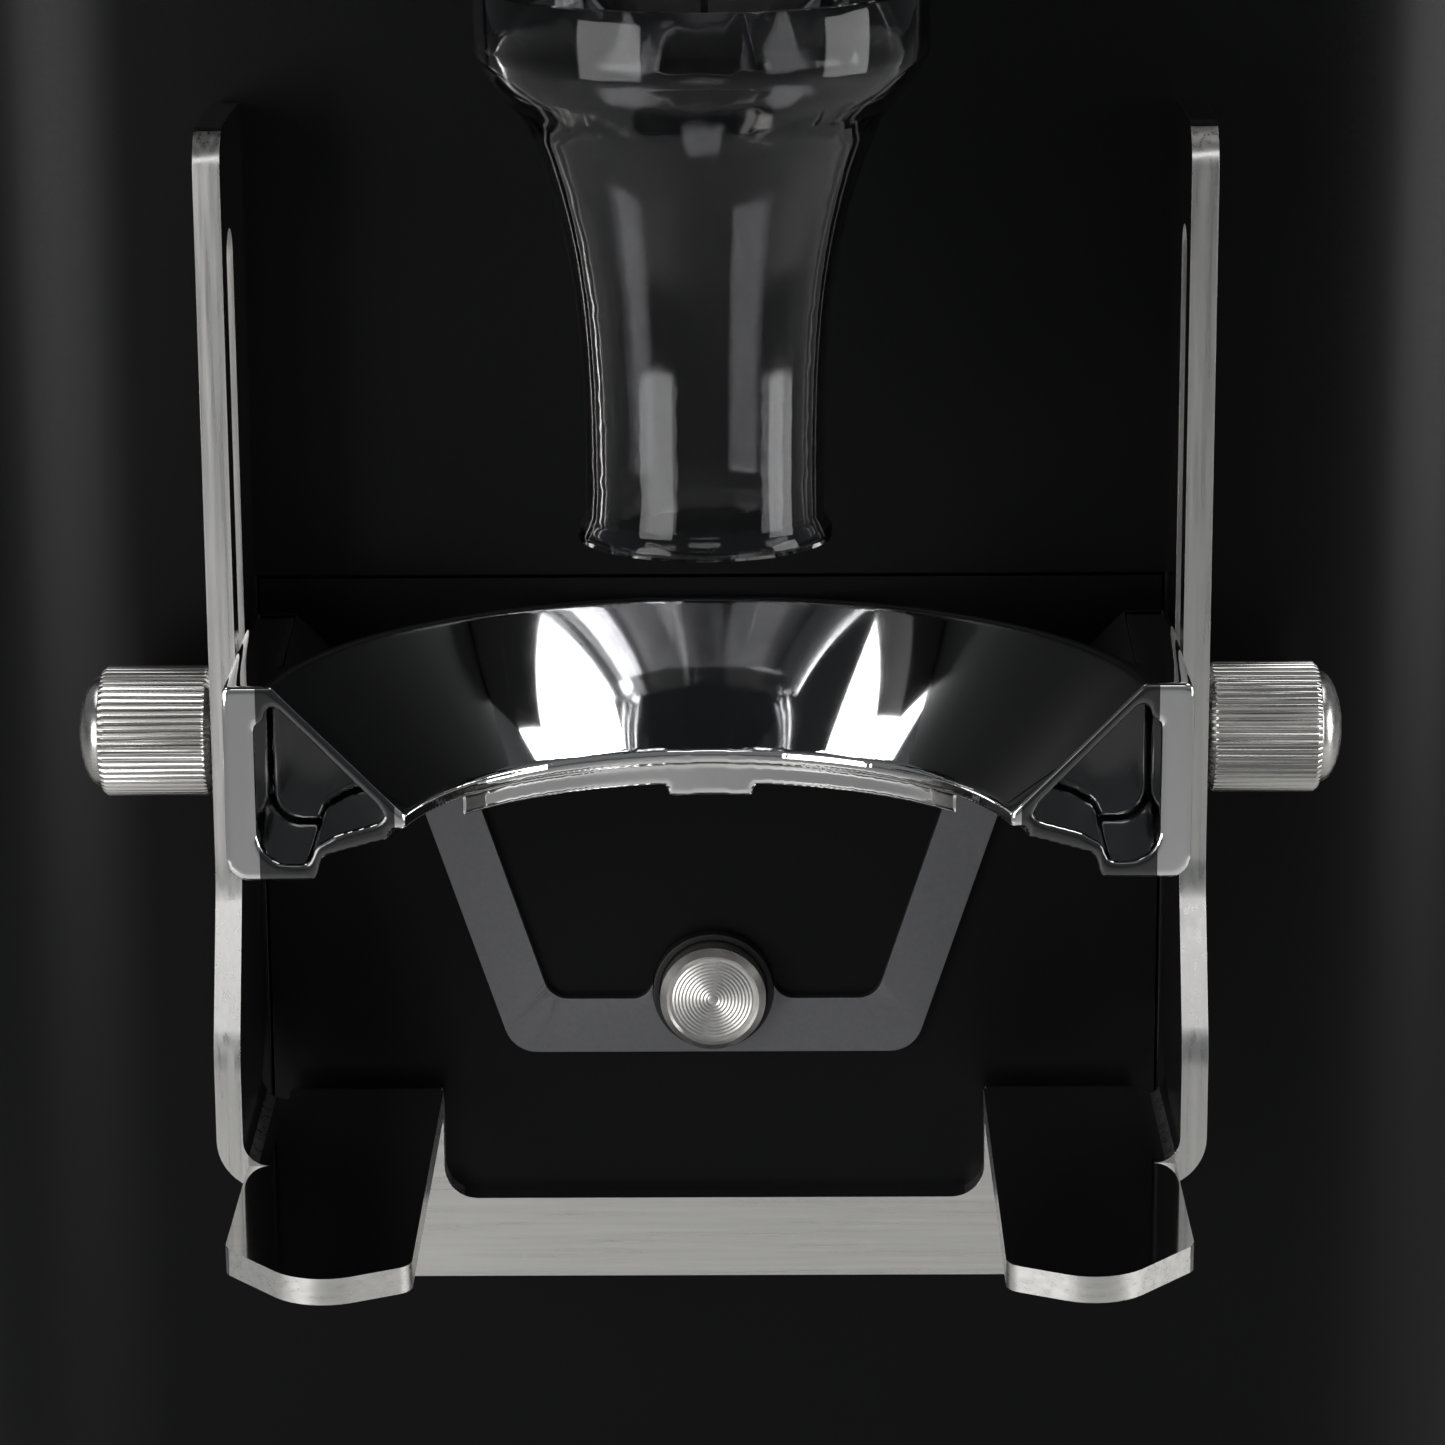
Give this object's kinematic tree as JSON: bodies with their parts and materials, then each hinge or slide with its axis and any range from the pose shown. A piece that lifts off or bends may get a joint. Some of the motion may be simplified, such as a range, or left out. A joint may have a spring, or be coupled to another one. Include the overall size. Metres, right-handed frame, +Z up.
{
  "type": "burr coffee grinder",
  "caption": "Upright on-demand burr grinder: rounded black column, clear spout, height-adjustable chrome dosing fork, bent steel holder bracket, round hopper and grounds tray.",
  "frame": {"origin": "centre of the footprint, on the surface the feet stand on", "axes": "+Z up, +X to the right of a person facing the machine, front faces -Y"},
  "size_m": [0.2, 0.283, 0.588],
  "materials": {
    "black_paint": "satin black powder coat",
    "black_plastic": "fine moulded grain",
    "black_glass": "polished dark display window",
    "rubber": "moulded rubber",
    "brushed_stainless": "straight brushed stainless sheet",
    "turned_steel": "turned stainless, fine tool lines",
    "polished_steel": "ground and polished",
    "screw_steel": "zinc-plated fastener",
    "zinc_plate": "zinc-plated sheet",
    "burr_steel": "hardened ground steel",
    "core_steel": "stacked core laminations",
    "chrome": "mirror chrome on a zinc casting",
    "satin_inlay": "satin grey",
    "clear_plastic": "clear moulded plastic",
    "smoked_plastic": "lightly smoked clear plastic",
    "anodised_aluminium": "satin anodised",
    "cast_aluminium": "shot-blasted casting",
    "motor_paint": "grey enamel",
    "copper": "enamelled copper wire",
    "brass": "machined brass",
    "felt": "pressed felt",
    "circuit_board": "solder-masked circuit board"
  },
  "bodies": {
    "frame": {"housing": "black_paint", "front_insert_plate": "black_paint", "base_plate": "zinc_plate", "plinth": "black_paint", "frame_posts": "zinc_plate", "support_deck": "cast_aluminium", "rear_cover": "black_paint", "rear_cover_screws": "screw_steel", "top_deck": "black_paint", "feet": "rubber", "foot_screws": "screw_steel", "head_cover": "black_paint", "display_bezel": "anodised_aluminium", "display_lens": "black_glass", "display_board": "circuit_board", "bracket": "brushed_stainless", "bracket_nuts": "screw_steel", "guide_inlay": "satin_inlay", "outlet_nozzle": "polished_steel", "nozzle_seal": "rubber", "nozzle_screen": "rubber", "button_sleeve": "black_plastic", "button_nut": "screw_steel", "button_spring": "screw_steel", "micro_switch": "black_plastic", "motor_can": "motor_paint", "motor_bell_lower": "cast_aluminium", "motor_bell_upper": "cast_aluminium", "motor_bolts": "screw_steel", "stator": "core_steel", "windings": "copper", "bearing_lower": "polished_steel", "bearing_upper": "polished_steel", "burr_chamber": "cast_aluminium", "shaft_seal": "felt", "control_board": "circuit_board", "run_capacitor": "zinc_plate", "power_switch_body": "black_plastic", "inlet_socket": "black_plastic"},
    "tray": {"grounds_tray": "brushed_stainless"},
    "dosing_fork": {"fork": "chrome"},
    "left_knob": {"knob_left": "turned_steel"},
    "right_knob": {"knob_right": "turned_steel"},
    "clear_spout": {"spout": "clear_plastic"},
    "button": {"start_button": "turned_steel"},
    "rotating_group": {"rotor": "core_steel", "motor_shaft": "polished_steel", "fan": "black_plastic", "lower_burr_carrier": "brass", "carrier_nut": "screw_steel", "lower_burr": "burr_steel", "lower_burr_screws": "screw_steel"},
    "adjuster": {"adjustment_ring": "anodised_aluminium", "hopper_collar": "black_plastic"},
    "upper_carrier": {"upper_burr_carrier": "brass", "upper_burr": "burr_steel"},
    "bean_hopper": {"hopper": "smoked_plastic"},
    "gate": {"hopper_gate": "brushed_stainless"},
    "lid": {"hopper_lid": "black_plastic"},
    "rocker": {"power_rocker": "black_plastic"}
  },
  "joints": [
    {"name": "button_press", "type": "slide", "parent": "frame", "child": "button", "axis": [0, 1, 0], "range_m": [0, 0.0025], "stiffness_N_per_m": 400, "springref_m": -0.003, "deforming": ["button_spring"]},
    {"name": "fork_height", "type": "slide", "parent": "frame", "child": "dosing_fork", "axis": [0, 0, 1], "range_m": [0, 0.05]},
    {"name": "knob_left_turn", "type": "hinge", "parent": "dosing_fork", "child": "left_knob", "pos_m": [-0.06, -0.0575, 0.2196], "axis": [-1, 0, 0], "range_deg": [0, 360]},
    {"name": "knob_right_turn", "type": "hinge", "parent": "dosing_fork", "child": "right_knob", "pos_m": [0.06, -0.0575, 0.2196], "axis": [1, 0, 0], "range_deg": [0, 360]},
    {"name": "spout_pull", "type": "slide", "parent": "frame", "child": "clear_spout", "axis": [0, -1, 0], "range_m": [0, 0.026]},
    {"name": "tray_lift", "type": "slide", "parent": "frame", "child": "tray", "axis": [0, 0, 1], "range_m": [0, 0.06]},
    {"name": "rotor_spin", "type": "hinge", "parent": "frame", "child": "rotating_group", "pos_m": [0, 0.0285, 0.2], "axis": [0, 0, 1], "continuous": true},
    {"name": "adjust_turn", "type": "hinge", "parent": "frame", "child": "adjuster", "pos_m": [0, 0.0285, 0.41], "axis": [0, 0, 1], "range_deg": [-60, 120]},
    {"name": "upper_burr_lift", "type": "slide", "parent": "adjuster", "child": "upper_carrier", "axis": [0, 0, 1], "range_m": [-0.0003, 0.0006]},
    {"name": "hopper_lift", "type": "slide", "parent": "adjuster", "child": "bean_hopper", "axis": [0, 0, 1], "range_m": [0, 0.06]},
    {"name": "gate_slide", "type": "slide", "parent": "bean_hopper", "child": "gate", "axis": [0, 1, 0], "range_m": [0, 0.055]},
    {"name": "lid_lift", "type": "slide", "parent": "bean_hopper", "child": "lid", "axis": [0, 0, 1], "range_m": [0, 0.04]},
    {"name": "power_rocker_tilt", "type": "hinge", "parent": "frame", "child": "rocker", "pos_m": [-0.038, 0.1335, 0.118], "axis": [-1, 0, 0], "range_deg": [0, 14]}
  ],
  "couplings": [
    {"joint": "upper_burr_lift", "follows": "adjust_turn", "m_per_rad": 0.00023873}
  ]
}
